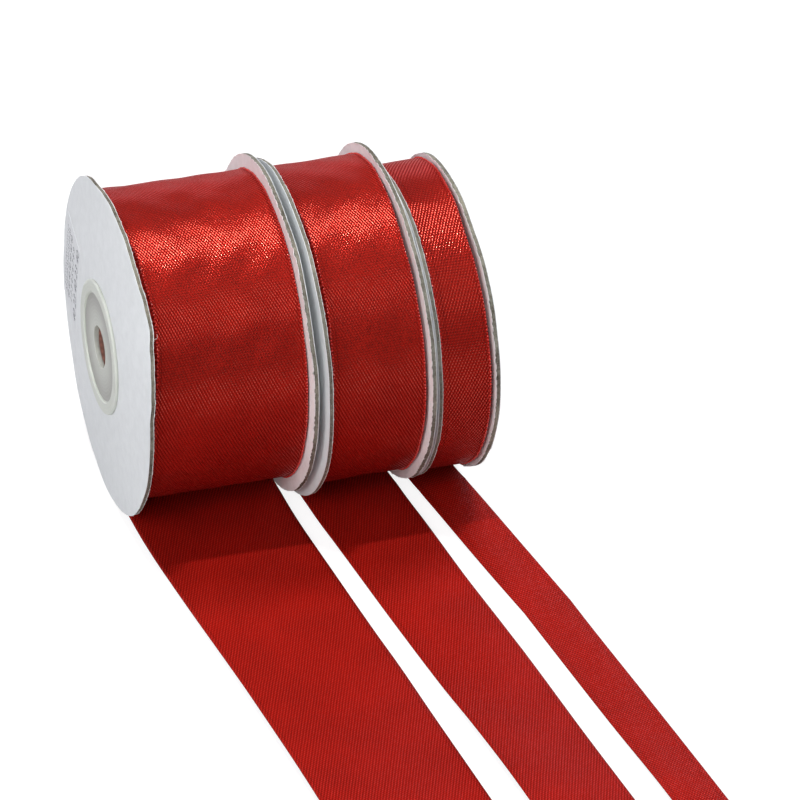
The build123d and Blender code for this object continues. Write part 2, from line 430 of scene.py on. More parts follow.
def stamped(spool, side, number, tear, recess, burrs, outer):
    """How a layer's points move: pinched together at the edge, torn inwards there, and bent with the disc."""
    bore = bores[spool]
    board_low, board_high = face_depths(bore, f"{spool}_{side}_board")
    middles = [(board_low[i] + board_high[i]) / 2 for i in (0, 1)]
    half = (board_high[1] - board_low[1]) / 2
    outwards = -1 if side == "left" else 1
    rng = np.random.default_rng(spools.index(spool) * 10 + number + (5 if side == "right" else 0))
    nicks = np.abs(rng.normal(0, 1, (disc_segments, nick_rows)))
    nicks = (nicks + np.roll(nicks, 1, 0)) / 2
    worn = np.repeat(np.clip(rng.normal(0.3, 1.0, disc_segments // worn_length), 0, 3), worn_length)
    worn = (worn + np.roll(worn, worn_length // 2)) / 2

    def change(points):
        depth, radius, angle = bore.read(points)
        off = depth - np.interp(radius, (flat_radius, outer), middles)
        pinch = 0.04 * mm * rise(radius, outer - 1.3 * mm, outer - 0.1 * mm) * off / (half + 0.1 * mm)
        lip = 0.05 * mm * rise(radius, outer - 0.4 * mm, outer - 0.1 * mm)
        lip = np.where((np.abs(off) < half + 0.02 * mm) & (off * outwards > 0), lip * off / half, 0.0)
        column = np.round(angle / (2 * math.pi) * disc_segments).astype(int) % disc_segments
        row = np.round(off / nick_height).astype(int) % nick_rows
        knock = np.exp(-((np.degrees(angle) % 360 - knocked_at) / knocked_width) ** 2) * (side == "right")
        rough = tear * nicks[column, row] * (0.4 + 0.9 * worn[column]) * (1 + 5 * knock)
        rough = np.minimum(recess * sunk_more[side] + rough, deepest_tear) * mm
        rough = rough * rise(radius, outer - 0.45 * mm, outer - 0.04 * mm)
        burr = np.clip(nicks[column, 5] - 0.75, 0, 1) * burr_length[side] * burrs
        burr = burr * rise(radius, outer - 0.5 * mm, outer - 0.1 * mm)
        depth = depth - pinch - lip + burr + disc_bend(spool, side, radius, angle, outer)
        return bore.at(depth, radius - rough, angle)

    return change


for spool in spools:
    bore = bores[spool]
    for side in ("left", "right"):
        for number, (layer, (finish, slot, edge_rows, tear, recess, burrs)) in enumerate(layers.items()):
            node_name = f"{spool}_{side}_{layer}"
            low, high = face_depths(bore, node_name)
            _, _, inner, outer = bore.span(node_name)
            profile = layer_profile(low, high, inner, outer, edge_rows)
            disc = turned(f"{node_name}_disc", spool, profile, disc_segments, finish)
            reshape(disc, stamped(spool, side, number, tear, recess, burrs, outer))
            disc.data.shade_smooth()
            disc.data.set_sharp_from_angle(angle=math.radians(35))
            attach(disc, f"{spool}_spool")
            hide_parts(node_name)


def strand_tree():
    """Short bent strands set at random along a line, as loose fibres stand on a cut edge."""
    tree, given, add = open_tree("strands", {
        "Line": "Geometry", "Spacing": "Float", "Length": "Float", "Thickness": "Float",
        "Spread": "Float", "Seed": "Int", "Material": "Material",
    })
    half_length = add("Math", {0: given["Length"], 1: 0.5}, operation="MULTIPLY")
    bow = add("CombineXYZ", {"X": half_length, "Z": half_length})
    tip = add("CombineXYZ", {"X": half_length, "Z": given["Length"]})
    arc = add("GeometryNodeCurveQuadraticBezier", {"Resolution": 4, "Start": (0, 0, 0), "Middle": bow, "End": tip})
    ring = add("GeometryNodeCurvePrimitiveCircle", {"Resolution": 3, "Radius": given["Thickness"]}, mode="RADIUS")
    strand = add("GeometryNodeCurveToMesh", {"Curve": arc, "Profile Curve": ring, "Fill Caps": True})
    line = add("GeometryNodeMeshToCurve", {"Mesh": given["Line"]})
    spots = add("GeometryNodeCurveToPoints", {"Curve": line, "Length": given["Spacing"]}, mode="LENGTH")
    less = add("Math", {0: given["Spread"], 1: -1.0}, operation="MULTIPLY")
    low, high = (add("CombineXYZ", dict.fromkeys("XYZ", end)) for end in (less, given["Spread"]))
    shift = add("FunctionNodeRandomValue", {0: low, 1: high, "Seed": given["Seed"]}, data_type="FLOAT_VECTOR")
    scattered = add("GeometryNodeSetPosition", {"Geometry": spots, "Offset": shift})
    spin = add("FunctionNodeRandomValue", {
        0: (0, 0, 0), 1: (6.28, 6.28, 6.28), "Seed": given["Seed"],
    }, data_type="FLOAT_VECTOR")
    size = add("FunctionNodeRandomValue", {2: 0.35, 3: 1.0, "Seed": given["Seed"]}, data_type="FLOAT")
    standing = add("GeometryNodeInstanceOnPoints", {
        "Points": scattered, "Instance": strand, "Rotation": spin, "Scale": size,
    })
    return close_tree(tree, standing, given["Material"])


def mottled(name, low_tint, high_tint, scale, detail=2.0, **same_all_over):
    """A material of two tints that a mottle mixes; scale is in mottles per metre."""
    made, shader, add = material(name, **same_all_over)
    place = add("TexCoord").outputs["Object"]
    mottle = add("TexNoise", {"Vector": place, "Scale": scale, "Detail": detail})
    shade = add("Mix", {"Factor": mottle, "A": low_tint, "B": high_tint}, data_type="RGBA")
    give(shader, {"Base Color": shade})
    return made


def closed_line(count):
    """The edges of a ring of points."""
    return [(i, (i + 1) % count) for i in range(count)]


strands = strand_tree()
# Paper fibre: bleached cellulose, matt and nearly white, a little browner where it comes from the board.
fibre = mottled("paper_fibre", "#A89A86", "#F0F0EE", 700.0, Roughness=0.8, IOR=1.45, Specular_IOR_Level=0.2)
ring_angles = np.linspace(0, 2 * math.pi, 240, endpoint=False)
for spool in spools:
    bore = bores[spool]
    for side in ("left", "right"):
        low, high, _, outer = bore.span(f"{spool}_{side}_board")
        depth = (low + high) / 2 if spool != "wide" or side != "left" else high - 0.5 * mm
        depth = depth + disc_bend(spool, side, outer, ring_angles, outer)
        rim = bore.at(depth, outer - 0.12 * mm, ring_angles)
        fuzz = grow(f"{spool}_{side}_edge_fibres", rim, closed_line(len(rim)), strands, {
            "Spacing": 1.5 * mm, "Length": 0.5 * mm, "Thickness": 0.022 * mm, "Spread": 0.22 * mm,
            "Seed": 3 + spools.index(spool) * 2 + (side == "right"), "Material": fibre,
        })
        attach(turn_out(fuzz), f"{spool}_spool")


def loose_curl(spool, angle, length):
    """One long fibre of the board that the punch left standing on the left disc's edge."""
    bore = bores[spool]
    _, high, _, outer = bore.span(f"{spool}_left_board")
    foot = high - 0.3 * mm + disc_bend(spool, "left", outer, angle, outer)
    path = bpy.data.curves.new(f"{spool}_loose_fibre", "CURVE")
    path.dimensions = "3D"
    path.bevel_depth = 0.055 * mm
    path.bevel_resolution = 1
    path.use_fill_caps = True
    spline = path.splines.new("NURBS")
    stations = ((0.0, -0.3, 0.0), (0.25, 0.25, 0.004), (0.85, 0.4, 0.004), (1.0, 0.85, -0.014), (0.8, 1.0, -0.022))
    spline.points.add(len(stations) - 1)
    for point, (out, high_up, turn) in zip(spline.points, stations):
        point.co = (*bore.at(foot + out * length, outer + high_up * length, angle + turn), 1.0)
    spline.order_u = 3
    spline.use_endpoint_u = True
    curl = turn_out(from_curve(f"{spool}_loose_fibre", path, fibre))
    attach(curl, f"{spool}_spool")


loose_curl("wide", math.radians(180 - 35), 1.2 * mm)


# --- Ribbon rolls -------------------------------
# About 23 m of polyester satin ribbon, wound shiny side out on the core tube. The turns don't lie
# quite even, so the outside ripples, and each turn ends in the small loops of its woven edge.
def satin(name, pitch, slant, tones, metal, polish, clear_gloss, relief, glint, crossing, edge_at):
    """Woven satin. The weave attribute holds the place on the ribbon, along it and across it, in metres.

    The twill lines of the long floats show as fine slanting ridges, broken into dashes where a float dives
    under the next weft thread, with fainter lines that cross them. Each float is tilted a little its own
    way, which makes it glint. The real lines are about 0.3 mm apart and are drawn coarser, so as to show.
    tones are the colours between the ridges, on them and on the bare top of a float, which has hardly any
    dye between it and the light; metal and polish are the metallic share and the roughness, low to high.
    A darker line is painted along the ribbon where the satin meets its plain woven edge, at edge_at from the
    middle: painted shade of a groove there, which the surface itself does not have.
    """
    made, shader, add = material(name, **clear_gloss)
    weave = add("Attribute", attribute_name="weave").outputs["Vector"]
    stray = add("TexNoise", {"Vector": weave, "Scale": 260.0, "Detail": 2.0}, noise_dimensions="2D")
    wander = add("Math", {0: stray, 1: 1.1}, operation="MULTIPLY")
    lines, laid_along = [], []
    for angle, spacing in ((slant, pitch), (-1.25 * slant, pitch * 0.9)):
        laid_along.append(add("Mapping", {"Vector": weave, "Rotation": (0, 0, angle)}))
        over = add("SeparateXYZ", {"Vector": laid_along[-1]}).outputs["Y"]
        phase = add("Math", {0: over, 1: 2 * math.pi / spacing, 2: wander}, operation="MULTIPLY_ADD")
        wave = add("Math", {0: phase}, operation="SINE")
        float_cells = add("Mapping", {"Vector": laid_along[-1], "Scale": (1 / (2.4 * spacing), 1 / spacing, 1.0)})
        dashes = add("TexNoise", {"Vector": float_cells, "Scale": 1.0, "Detail": 1.0}, noise_dimensions="2D")
        spread = add("MapRange", {"Value": dashes, "From Min": 0.3, "From Max": 0.7, "To Min": 0.6, "To Max": 1.0})
        lines.append(add("Math", {0: wave, 1: spread}, operation="MULTIPLY"))
    ridge = add("Math", {0: lines[1], 1: crossing, 2: lines[0]}, operation="MULTIPLY_ADD")
    tone = add("MapRange", {"Value": ridge, "From Min": -0.9, "From Max": 1.0})
    broad = add("TexNoise", {"Vector": weave, "Scale": 60.0, "Detail": 3.0}, noise_dimensions="2D")
    mixed = add("Math", {0: broad, 1: 0.5, 2: tone}, operation="MULTIPLY_ADD")
    level_tone = add("MapRange", {"Value": mixed, "From Min": 0.2, "From Max": 1.3})
    from_middle = add("SeparateXYZ", {"Vector": weave}).outputs["Y"]
    aside = add("Math", {0: from_middle}, operation="ABSOLUTE")
    # Painted shade: the satin is darker in a narrow line along the groove at its woven edge; the surface has no
    # dip there.
    groove = add("Math", {0: aside, 1: edge_at, 2: 0.11 * mm}, operation="COMPARE")
    groove_painted_shade = add("Math", {0: groove, 1: -0.55, 2: level_tone}, operation="MULTIPLY_ADD", use_clamp=True)
    yarn_shade = add("Mix", {"Factor": groove_painted_shade, "A": tones[0], "B": tones[1]}, data_type="RGBA")
    crown = add("MapRange", {"Value": ridge, "From Min": 0.5, "From Max": 1.0}, interpolation_type="SMOOTHSTEP")
    shade = add("Mix", {"Factor": crown, "A": yarn_shade, "B": tones[2]}, data_type="RGBA")
    shine = add("MapRange", {"Value": crown, "To Min": metal[0], "To Max": metal[1]})
    rough = add("MapRange", {
        "Value": ridge, "From Min": -0.1, "From Max": 0.85, "To Min": polish[0], "To Max": polish[1],
    })
    grain = add("Mapping", {"Vector": laid_along[0], "Scale": (1 / (1.8 * mm), 1 / pitch, 1.0)})
    tilted = add("TexNoise", {"Vector": grain, "Scale": 1.0, "Detail": 1.0}, noise_dimensions="2D")
    height = add("Math", {0: tilted, 1: glint, 2: ridge}, operation="MULTIPLY_ADD")
    bump = add("Bump", {"Height": height, "Distance": relief, "Strength": 1.0})
    weft = add("CombineXYZ", {"X": 1.0})
    give(shader, {"Base Color": shade, "Metallic": shine, "Roughness": rough, "Normal": bump, "Tangent": weft})
    return made


# The shiny face: long floats that reflect like brushed metal, tinted by the dye, under a clear sheen.
face_gloss = {"Anisotropic": 0.3, "IOR": 1.5, "Specular_IOR_Level": 0.15, "Specular_Tint": (1.0, 0.6, 0.6, 1.0)}
face_tones = ("#7E120C", "#C4271B", "#D45A4C")
edge_width = 1.05 * mm
roll_widths = {spool: bores[spool].span(f"{spool}_ribbon_roll")[1] * 2 for spool in spools}
# Per ribbon: slant of its twill lines in degrees, their spacing, and how strongly other lines cross them.
twills = {"wide": (-27, 0.72 * mm, 0.3), "medium": (-27, 0.72 * mm, 0.3), "narrow": (27, 0.78 * mm, 0.6)}
face_satin = {
    spool: satin(
        f"red_satin_face_{spool}", pitch, math.radians(slant), face_tones, (0.5, 1.0), (0.74, 0.14), face_gloss,
        0.034 * mm, 0.5, crossing, roll_widths[spool] / 2 - edge_width,
    )
    for spool, (slant, pitch, crossing) in twills.items()
}


def loop_tree():
    """Small beads of yarn at even spacing along a line, each a little different in size."""
    tree, given, add = open_tree("edge_loops", {
        "Line": "Geometry", "Spacing": "Float", "Bead Length": "Float", "Bead Width": "Float",
        "Seed": "Int", "Material": "Material",
    })
    ball = add("GeometryNodeMeshIcoSphere", {"Radius": 0.5, "Subdivisions": 1})
    shape = add("CombineXYZ", {"X": given["Bead Width"], "Y": given["Bead Width"], "Z": given["Bead Length"]})
    line = add("GeometryNodeMeshToCurve", {"Mesh": given["Line"]})
    spots = add("GeometryNodeCurveToPoints", {"Curve": line, "Length": given["Spacing"]}, mode="LENGTH")
    vary = add("FunctionNodeRandomValue", {2: 0.75, 3: 1.15, "Seed": given["Seed"]}, data_type="FLOAT")
    size = add("VectorMath", {0: shape, "Scale": vary}, operation="SCALE")
    strung = add("GeometryNodeInstanceOnPoints", {
        "Points": spots, "Instance": ball, "Rotation": spots.outputs["Rotation"], "Scale": size,
    })
    real = add("GeometryNodeRealizeInstances", {"Geometry": strung})
    smooth = add("GeometryNodeSetShadeSmooth", {"Geometry": real, "Shade Smooth": True})
    return close_tree(tree, smooth, given["Material"])


loops = loop_tree()
# The doubled yarn of the woven edge: the same dyed polyester, rounder and so duller than the floats.
yarn = mottled("red_edge_yarn", "#B01812", "#D8362C", 1400.0, Roughness=0.16, IOR=1.5, Specular_IOR_Level=1.0)


def roll_profile(low, high, inner, outer, rng):
    """Outer turn with its rounded edges, the stepped turns at both sides, and the hollow for the tube."""
    rounded, drop = 0.4 * mm, 0.10 * mm
    top = []
    for share in np.linspace(0, 1, 88):
        depth = low + share * (high - low)
        to_edge = min(depth - low, high - depth)
        top.append((depth, outer - drop * max(0.0, 1 - to_edge / rounded) ** 2))
    radii = np.linspace(outer - 0.6 * mm, inner + 0.3 * mm, 26)
    right = [(high - rng.uniform(0.0, 0.12) * mm, r) for r in radii]
    left = [(low + rng.uniform(0.0, 0.12) * mm, r) for r in radii[::-1]]
    return top + right + [(high, inner), (low, inner)] + left


roll_swell = {"wide": 0.42 * mm, "medium": 0.05 * mm, "narrow": 0.20 * mm}
wave_slope = {"wide": 0.03, "medium": 0.026, "narrow": 0.018}
side_play = 0.06 * mm
# How far the last turns stand off the left disc where that is bent in, at angles up from the front.
left_gaps = {
    "wide": [(-40, 0.0), (-6, 0.5), (10, 1.0), (30, 1.9), (46, 2.2), (64, 1.9), (80, 0.8), (100, 0.0)],
    "medium": [(-40, 0.0), (10, 0.6), (46, 1.2), (70, 1.2), (88, 0.4), (100, 0.0)],
    "narrow": [(-40, 0.0), (30, 0.3), (60, 0.45), (88, 0.1), (100, 0.0)],
}
# The same at the right disc, where the gap narrows down between the turns.
right_gaps = {
    "wide": [(0, 0.0), (180, 0.0)],
    "medium": [(-60, 0.3), (-20, 0.7), (20, 0.8), (60, 0.95), (80, 0.5), (100, 0.1), (140, 0.0)],
    "narrow": [(-60, 0.3), (-20, 0.7), (20, 0.9), (60, 1.1), (84, 0.6), (100, 0.3), (140, 0.0)],
}


def wound(spool, rng):
    """How a roll's points move: its outside ripples, and its sides give way to the bent discs."""
    bore = bores[spool]
    low, high, _, outer = bore.span(f"{spool}_ribbon_roll")
    waves = [
        (rng.integers(13, 27), rng.uniform(-560, 560), rng.uniform(0, 2 * math.pi), rng.uniform(0.5, 1.0))
        for _ in range(10)
    ]
    steep = math.sqrt(sum(w[3] ** 2 for w in waves) / 2)
    left_face = face_depths(bore, f"{spool}_left_inner_facing")[1][1]
    right_face = face_depths(bore, f"{spool}_right_inner_facing")[0][1]
    disc_outer = bore.span(f"{spool}_left_board")[3]

    def change(points):
        depth, radius, angle = bore.read(points)
        height = sum(a / n * np.sin(n * angle + k * depth + p) for n, k, p, a in waves)
        height = height * wave_slope[spool] * outer / steep + roll_swell[spool]
        radius = radius + height * np.clip((radius - outer + 1.5 * mm) / (1.0 * mm), 0, 1)
        last_turns = rise(radius, outer - 1.2 * mm, outer - 0.3 * mm)
        more_turns = rise(radius, outer - 4.0 * mm, outer - 0.4 * mm)
        left_gap = side_play + around(left_gaps[spool], 180 - np.degrees(angle)) * last_turns * mm
        right_gap = side_play + around(right_gaps[spool], 180 - np.degrees(angle)) * more_turns * mm
        left_limit = left_face + disc_bend(spool, "left", radius, angle, disc_outer) + left_gap
        right_limit = right_face + disc_bend(spool, "right", radius, angle, disc_outer) - right_gap
        start, end = np.maximum(low, left_limit), np.minimum(high, right_limit)
        return bore.at(start + (depth - low) / (high - low) * (end - start), radius, angle)

    return change


for number, spool in enumerate(spools):
    bore = bores[spool]
    low, high, inner, outer = bore.span(f"{spool}_ribbon_roll")
    rng = np.random.default_rng(40 + number)
    roll = turned(
        f"{spool}_wound_ribbon", spool, roll_profile(low, high, inner, outer, rng), 480,
        face_satin[spool], surface_radius=outer, start=math.radians(-90),
    )
    change = wound(spool, rng)
    reshape(roll, change)
    roll.data.shade_smooth()
    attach(roll, f"{spool}_spool")
    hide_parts(f"{spool}_ribbon_roll")

    ring = np.linspace(0, 2 * math.pi, 720, endpoint=False)
    for side, depth in (("left", low + 0.1 * mm), ("right", high - 0.25 * mm)):
        line = change(bore.at(depth, outer + 0.08 * mm, ring))
        beads = grow(f"{spool}_{side}_woven_edge", line, closed_line(len(ring)), loops, {
            "Spacing": 0.86 * mm, "Bead Length": 0.66 * mm, "Bead Width": 0.6 * mm,
            "Seed": 11 + number, "Material": yarn,
        })
        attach(turn_out(beads), f"{spool}_spool")


# --- Drawn-off ends -----------------------------
# The last stretch of each ribbon. It leaves the underside of its roll, so the dull back of the satin
# is on top. It slants down to the table and lies there, not quite flat, to its scissor-cut end.
back_gloss = {"IOR": 1.5, "Specular_IOR_Level": 0.05}
back_tones = ("#7C120A", "#BA190F", "#C62E26")
back_satin = {
    spool: satin(
        f"red_satin_back_{spool}", 0.7 * mm, math.radians(27 if spool != "narrow" else -30), back_tones,
        (0.2, 0.35), (0.55, 0.28), back_gloss, 0.04 * mm, 1.5, 0.6, width / 2 - edge_width,
    )
    for spool, width in roll_widths.items()
}
ribbon_gauge = 0.22 * mm
roll_clearance = 0.17 * mm

# Per end, in degrees and millimetres: how steeply it leaves the roll, how far it drifts to +X on its way
# down, its headings on the table from -Y towards +X with how far it follows each, and how high its two
# edges stand at distances along it.
end_shapes = {
    "wide": {
        "leave": 11.0, "drift": 2.1, "headings": [(6.3, 55), (5.7, 88)],
        "left": [(0, 2.2), (18, 1.4), (34, 0.9), (60, 0.4), (90, 0.1), (104, 0.3), (122, 0.1), (160, 0.2)],
        "right": [(0, 1.5), (20, 0.5), (38, 0.5), (64, 1.0), (86, 1.8), (110, 2.5), (132, 2.9), (160, 2.4)],
    },
    "medium": {
        "leave": 9.0, "drift": 2.3, "headings": [(7.2, 60), (6.7, 92)],
        "left": [(0, 2.0), (20, 1.4), (46, 0.9), (66, 0.3), (86, 0.5), (106, 0.6), (135, 0.2), (170, 0.5)],
        "right": [(0, 1.8), (26, 0.6), (52, 0.4), (80, 0.2), (106, 0.6), (124, 1.9), (144, 2.7), (170, 2.2)],
    },
    "narrow": {
        "leave": 6.5, "drift": 1.8, "headings": [(10.4, 50), (7.4, 106)],
        "left": [(0, 2.0), (30, 1.6), (60, 0.8), (90, 0.2), (120, 0.3), (170, 0.2)],
        "right": [(0, 1.8), (30, 1.2), (60, 0.4), (90, 0.2), (130, 0.3), (160, 1.0), (170, 0.8)],
    },
}


def eased(stations, along):
    """A smooth curve through (distance, height) pairs in millimetres, in metres."""
    at, high = np.array(stations, float).T * mm
    slope = np.gradient(high, at)
    spot = np.clip(np.searchsorted(at, along) - 1, 0, len(at) - 2)
    gap = at[spot + 1] - at[spot]
    t = np.clip((along - at[spot]) / gap, 0, 1)
    return (
        high[spot] * (2 * t**3 - 3 * t**2 + 1) + high[spot + 1] * (3 * t**2 - 2 * t**3)
        + slope[spot] * gap * (t**3 - 2 * t**2 + t) + slope[spot + 1] * gap * (t**3 - t**2)
    )


wrap = math.radians(24)
landing_ease = 22 * mm
drift_from = -8 * mm
settle_over = 25 * mm
crown_height = 0.25 * mm
flutter_height, flutter_length = 0.10 * mm, 13 * mm
cut_skew = 0.06


def end_line(spool, roll_outer, disc_radius, shape):
    """Middle line of an end: its points, and how many of them still lie round the roll."""
    bore = bores[spool]
    leave = math.radians(shape["leave"])
    radius = roll_outer + roll_swell[spool] + roll_clearance + ribbon_gauge / 2
    low, high, _, _ = bore.span(f"{spool}_ribbon_roll")
    middle = (low + high) / 2
    leave_at = -math.pi / 2 + leave
    under = bore.at(middle, radius, np.linspace(leave_at + wrap, leave_at, 30))
    rest = -disc_radius + ribbon_gauge / 2
    drop = (-radius * math.cos(leave)) - rest
    start = radius * math.sin(leave)
    landing = start - drop / math.tan(leave)
    back = np.linspace(start, landing - landing_ease, 60)[1:]
    slant = drop - (start - back) * math.tan(leave)
    soft = landing_ease * math.tan(leave) / 2
    height = np.where(slant > soft, slant, soft * np.exp(np.minimum(slant - soft, 0) / soft))
    down = bore.middle + middle * bore.axis + back[:, None] * bore.side + (rest + height)[:, None] * up
    drift, rest_of_way = shape["drift"] * mm, drift_from - back[-1]
    bend = rest_of_way * math.tan(math.radians(shape["headings"][0][0])) / drift
    down[:, 0] += drift * np.clip((drift_from - back) / rest_of_way, 0, 1) ** bend
    points = [under, down]
    for angle, length in shape["headings"]:
        steps = np.arange(1, length + 1) * mm
        way = np.array((math.sin(math.radians(angle)), -math.cos(math.radians(angle)), 0))
        points.append(points[-1][-1] + steps[:, None] * way)
    return np.concatenate(points), len(under)


for spool in spools:
    shape = end_shapes[spool]
    low, high, _, roll_outer = bores[spool].span(f"{spool}_ribbon_roll")
    disc_radius = bores[spool].span(f"{spool}_left_board")[3]
    width = high - low
    line, leaves_at = end_line(spool, roll_outer, disc_radius, shape)
    last_heading = math.radians(shape["headings"][-1][0])
    cut_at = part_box(f"{spool}_ribbon_end")[0].y + width / 2 * math.sin(last_heading)
    line = line[line[:, 1] > cut_at]
    way = np.gradient(line, axis=0)
    side = np.cross(way, up)
    side[:leaves_at] = np.cross(way[leaves_at + 5], up)
    side /= np.linalg.norm(side, axis=1)[:, None]
    run = np.concatenate(([0.0], np.cumsum(np.linalg.norm(np.diff(line, axis=0), axis=1))))
    off_roll = np.clip(run - run[leaves_at], 0, None)
    settle = np.clip(off_roll / settle_over, 0, 1) ** 2
    across_it = np.linspace(-0.5, 0.5, 41)
    lift_left, lift_right = (eased(shape[edge], off_roll) * settle for edge in ("left", "right"))
    lift = lift_left[:, None] * (0.5 + across_it) + lift_right[:, None] * (0.5 - across_it)
    crown = crown_height * np.cos(math.pi * across_it)[None, :] * settle[:, None]
    flutter = flutter_height * np.sin(off_roll / flutter_length)[:, None] * np.sin(across_it * 7)[None, :]
    above_line = np.clip(lift + crown + flutter * settle[:, None], 0, None)
    skew = cut_skew * width * across_it[None, :] * (np.arange(len(line)) == len(line) - 1)[:, None]
    top = (
        line[:, None, :]
        - side[:, None, :] * (across_it * width)[None, :, None]
        + above_line[..., None] * up
        + skew[..., None] * (way[-1] / np.linalg.norm(way[-1]))
    )
    rows, columns = top.shape[:2]
    faces = [
        (i * columns + j, i * columns + j + 1, (i + 1) * columns + j + 1, (i + 1) * columns + j)
        for i in range(rows - 1) for j in range(columns - 1)
    ]
    mesh = bpy.data.meshes.new(f"{spool}_loose_ribbon")
    mesh.from_pydata([tuple(p) for p in top.reshape(-1, 3)], [], faces)
    weave = mesh.attributes.new("weave", "FLOAT_VECTOR", "POINT")
    place = np.zeros((rows, columns, 3))
    place[..., 0] = run[:, None]
    place[..., 1] = (across_it * width)[None, :]
    weave.data.foreach_set("vector", place.astype(np.float32).ravel())
    mesh.materials.append(back_satin[spool])
    mesh.shade_smooth()
    loose = new_piece(f"{spool}_loose_ribbon", mesh)
    wall = loose.modifiers.new("gauge", "SOLIDIFY")
    wall.thickness = ribbon_gauge
    wall.offset = 0.0
    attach(loose, f"{spool}_drawn_end")
    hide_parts(f"{spool}_ribbon_end")


# --- Hub plugs, core tubes and starter tapes ----
# The plugs are moulded in natural polypropylene, milky and a little see-through, with the faint turning
# rings of the mould. The tube is wound from brown board, and clear tape holds the first turn on it.
hub_web_edge = 13.6 * mm
web_behind = 1.85 * mm
mould_ring = 0.95 * mm


def plastic(spool):
    """Natural polypropylene: milky, soft in gloss, with the turning rings of the mould.

    The thin web between rim and bore is painted greyer than the rim, more so towards the rim: painted shade for
    the dark inside seen through it.
    Behind the webs the plug has a painted reddish-brown glow, though it is no lamp, in place of light that came
    through the red ribbon and the brown tube.
    """
    bore = bores[spool]
    made, shader, add = material(
        f"natural_polypropylene_{spool}", Roughness=0.4, IOR=1.49, Specular_IOR_Level=0.4,
        Subsurface_Weight=0.7, Subsurface_Scale=2.0 * mm, Subsurface_Radius=(1.0, 1.0, 1.0),
    )
    place = add("TexCoord").outputs["Object"]
    off = add("VectorMath", {0: place, 1: tuple(bore.middle)}, operation="SUBTRACT")
    beside = add("VectorMath", {0: off, 1: tuple(bore.axis)}, operation="CROSS_PRODUCT")
    far = add("VectorMath", {0: beside}, operation="LENGTH")
    phase = add("Math", {0: far, 1: 2 * math.pi / mould_ring}, operation="MULTIPLY")
    ring = add("Math", {0: phase}, operation="SINE")
    rings = add("Math", {0: ring, 1: 0.05}, operation="MULTIPLY")
    # Painted shade: the web is drawn greyer than the rim, darker towards the rim, for the dark inside seen through
    # it; the mould rings are added on top.
    thin, rim = (
        add("MapRange", {
            "Value": far, "From Min": start, "From Max": end, "To Min": first, "To Max": last,
        }, interpolation_type="SMOOTHSTEP")
        for start, end, first, last in (
            (6.5 * mm, hub_web_edge, 0.35, 0.85), (hub_web_edge, hub_web_edge + 0.3 * mm, 1.0, 0.0),
        )
    )
    grey = add("Math", {0: thin, 1: rim}, operation="MULTIPLY")
    tone = add("Math", {0: grey, 1: rings}, operation="ADD", use_clamp=True)
    web = add("Mix", {"Factor": tone, "A": "#D3D7CF", "B": "#9C9A97"}, data_type="RGBA")
    cloud = add("TexNoise", {"Vector": place, "Scale": 140.0, "Detail": 3.0})
    shade = add("Mix", {"Factor": cloud, "A": web, "B": "#F0F1ED"}, data_type="RGBA", blend_type="MULTIPLY")
    bump = add("Bump", {"Height": ring, "Distance": 0.015 * mm, "Strength": 0.5})
    depth = add("VectorMath", {0: off, 1: tuple(bore.axis)}, operation="DOT_PRODUCT")
    left_web = bore.span(f"{spool}_left_hub")[0] + web_behind
    right_web = bore.span(f"{spool}_right_hub")[1] - web_behind
    past_left = add("Math", {0: depth, 1: left_web}, operation="GREATER_THAN")
    before_right = add("Math", {0: depth, 1: right_web}, operation="LESS_THAN")
    inside = add("Math", {0: past_left, 1: before_right}, operation="MULTIPLY")
    ribs, cross_ribs = (
        add("TexWave", {
            "Vector": place, "Scale": 0.31 / spacing, "Distortion": 0.6,
        }, bands_direction=across).outputs["Fac"]
        for across, spacing in (("X", 0.9 * mm), ("Z", 1.3 * mm))
    )
    grid = add("Math", {0: ribs, 1: cross_ribs}, operation="MULTIPLY")
    # Painted glow: behind the webs the plug emits reddish-brown light in a grid of moulded ribs, though it is no
    # lamp.
    painted_glow_grid = add("Mix", {"Factor": grid, "A": "#5C3830", "B": "#9C6A5C"}, data_type="RGBA")
    glow = add("Mix", {"Factor": inside, "A": (0, 0, 0, 1), "B": painted_glow_grid}, data_type="RGBA")
    give(shader, {"Base Color": shade, "Normal": bump, "Emission Color": glow, "Emission Strength": 0.8})
    return made


def dress(node_name, finish):
    """Gives a CAD node that stays in view its material."""
    shown = frame["nodes"][node_name]
    shown.data.materials.clear()
    shown.data.materials.append(finish)


# Spiral-wound brown board, matt, and seen only through the bore.
tube_board = mottled(
    "brown_core_board", "#8E4A3C", "#B4705E", 700.0, 5.0, Roughness=0.8, IOR=1.45, Specular_IOR_Level=0.2,
)
# Clear adhesive tape, glossy, yellowed and finely streaked.
tape = mottled("clear_tape", "#D9CDA2", "#E6DDBB", 1500.0, Roughness=0.15, IOR=1.47)
for spool in spools:
    hub_plastic = plastic(spool)
    for piece, finish in (
        ("left_hub", hub_plastic), ("right_hub", hub_plastic), ("core_tube", tube_board), ("starter_tape", tape),
    ):
        dress(f"{spool}_{piece}", finish)


# --- Size stickers ------------------------------
# A thin paper sticker on each left face, stuck on a little crooked. Rows of plain numbers are printed
# on it in grey, where a shop prints the size.
label_paper = paper("sticker_paper", "#E2E4E6", "#DCDEE0")
# Grey printing ink: thin and matt, and worn in specks.
ink = mottled("grey_printing_ink", "#44464E", "#868890", 1800.0, Roughness=0.6, IOR=1.45, Specular_IOR_Level=0.3)
sticker_turn = math.radians(11)
ink_clearance = 0.012 * mm
number_rows = {
    spool: (
        f"{size} 23 {size} 23 {size}", "1 2 3 4 5 6 7 8 9", " ".join([size] * 7), " ".join(["23"] * 8),
        "0 1 2 3 4 5 6 7 8 9 0 1 2 3 4 5 6 7",
    )
    for spool, size in (("wide", "40"), ("medium", "25"), ("narrow", "13"))
}
# Where each row stands across the sticker and how high its numbers are, in millimetres.
row_layout = ((-6.9, 4.0), (-2.4, 2.8), (0.7, 2.5), (3.4, 2.2), (5.7, 1.5))


